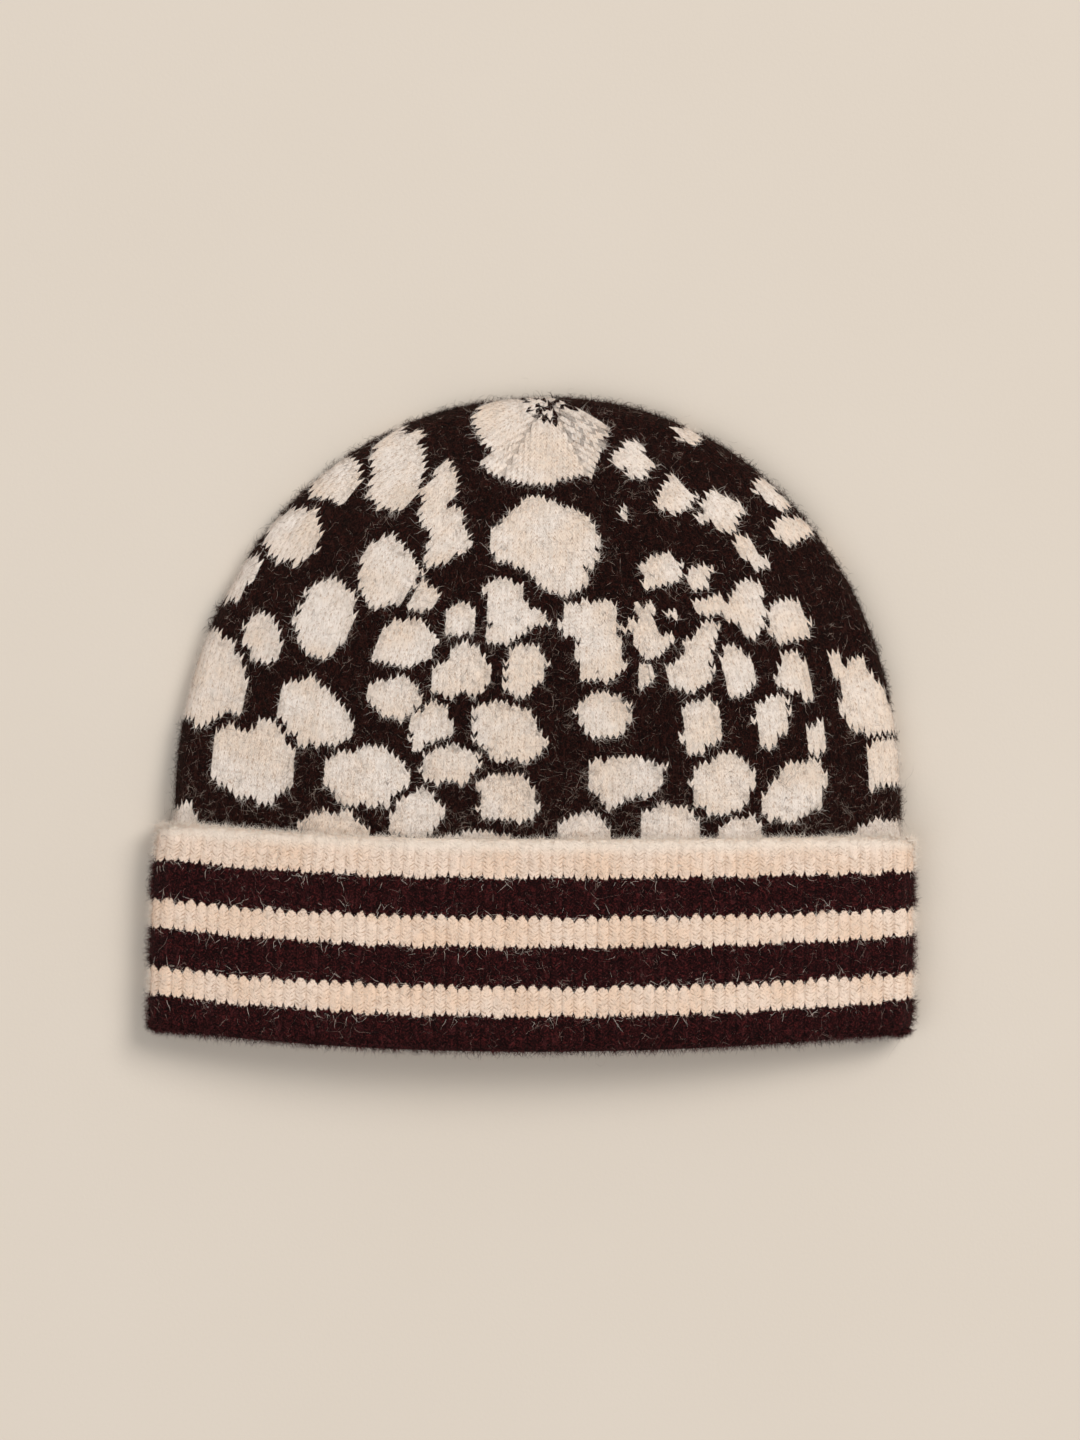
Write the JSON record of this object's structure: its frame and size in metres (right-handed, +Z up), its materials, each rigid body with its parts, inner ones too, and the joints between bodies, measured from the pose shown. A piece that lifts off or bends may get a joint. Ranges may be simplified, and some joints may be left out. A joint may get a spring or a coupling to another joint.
{
  "type": "beanie",
  "caption": "Knitted beanie lying flat: gored crown with a spotted colour pattern and a striped ribbed band turned up into a cuff.",
  "frame": {"origin": "middle of the footprint, on the surface that the beanie lies on", "axes": "+Z up from that surface, +Y from the open mouth towards the crown's tip, +X across the beanie"},
  "size_m": [0.2396, 0.204, 0.0274],
  "materials": {
    "crown_knit": "brushed two-colour knit, dark brown with cream spots",
    "rib_band": "brushed ribbed knit, cream and dark brown stripes"
  },
  "bodies": {
    "root": {"crown": "crown_knit", "cuff": "rib_band"}
  },
  "joints": []
}
